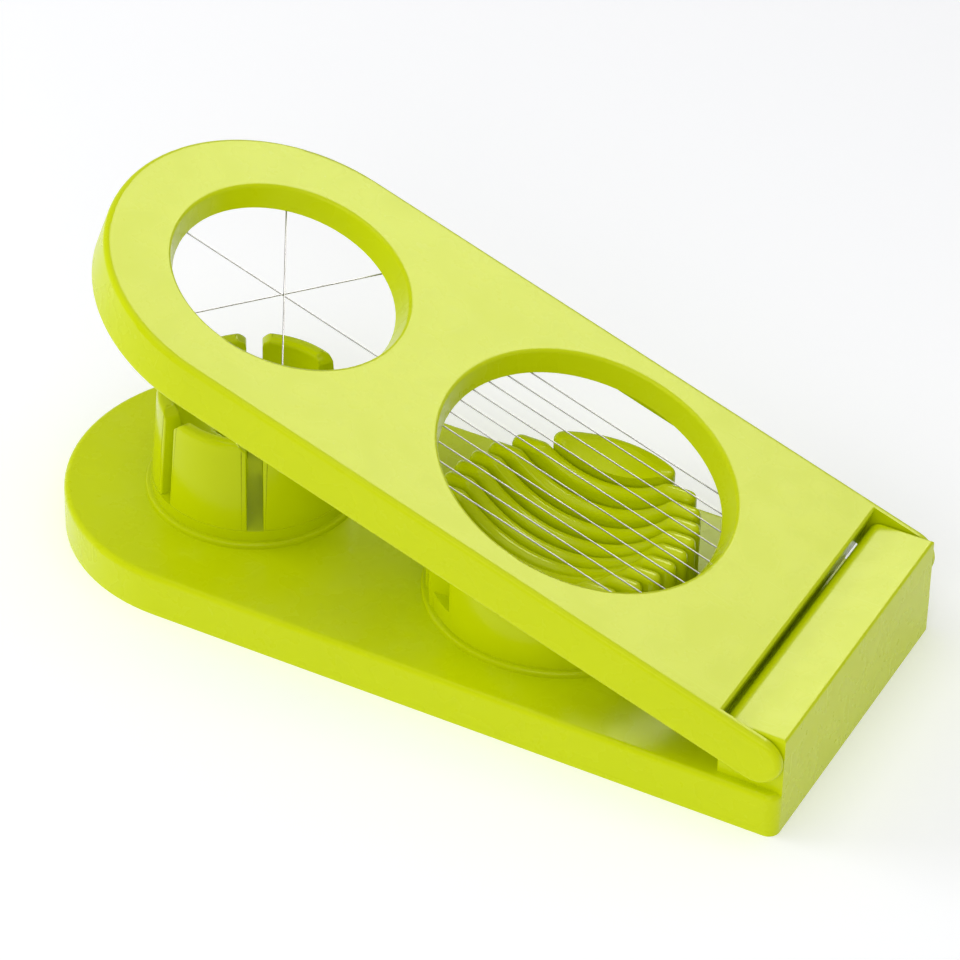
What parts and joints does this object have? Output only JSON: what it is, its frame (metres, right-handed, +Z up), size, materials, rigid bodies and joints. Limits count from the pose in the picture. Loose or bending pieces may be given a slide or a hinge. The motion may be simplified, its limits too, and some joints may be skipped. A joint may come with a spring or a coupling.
{
  "type": "egg slicer",
  "caption": "Hinged egg slicer and wedger: a long lid with a window of parallel wires and a window of crossed wires closes over two slotted egg cups on a flat base.",
  "frame": {"origin": "on the table under the middle of the base, which is also the middle of the whole part at rest", "axes": "+X from the round free end towards the hinge, +Y across the base along the hinge axis, +Z up"},
  "size_m": [0.213, 0.09, 0.0934],
  "materials": {
    "lime_shell": "glossy moulded lime-green plastic",
    "lime_cup": "glossy moulded lime-green plastic",
    "lime_carrier": "plain moulded lime-green plastic",
    "steel_wire": "bright drawn stainless wire",
    "steel_pin": "turned steel",
    "screw_steel": "zinc-plated steel",
    "ferrule_metal": "crimped aluminium"
  },
  "bodies": {
    "base": {"base_shell": "lime_shell", "hinge_pin_near": "steel_pin", "hinge_pin_far": "steel_pin", "wedger_cup": "lime_cup", "slicer_cup": "lime_cup", "cup_screws": "screw_steel"},
    "lid": {"lid_shell": "lime_shell", "wedge_wire_ring": "lime_carrier", "slicer_wire_frame": "lime_carrier", "wedge_ferrules": "ferrule_metal", "slicer_ferrules": "ferrule_metal", "lid_screws": "screw_steel", "wedge_wire_1": "steel_wire", "wedge_wire_2": "steel_wire", "wedge_wire_3": "steel_wire", "slicer_wire_01": "steel_wire", "slicer_wire_02": "steel_wire", "slicer_wire_03": "steel_wire", "slicer_wire_04": "steel_wire", "slicer_wire_05": "steel_wire", "slicer_wire_06": "steel_wire", "slicer_wire_07": "steel_wire", "slicer_wire_08": "steel_wire", "slicer_wire_09": "steel_wire", "slicer_wire_10": "steel_wire"}
  },
  "joints": [
    {"name": "lid_hinge", "type": "hinge", "parent": "base", "child": "lid", "pos_m": [0.0999, 0, 0.0212], "axis": [0, 1, 0], "range_deg": [-18.9, 161.1]}
  ]
}
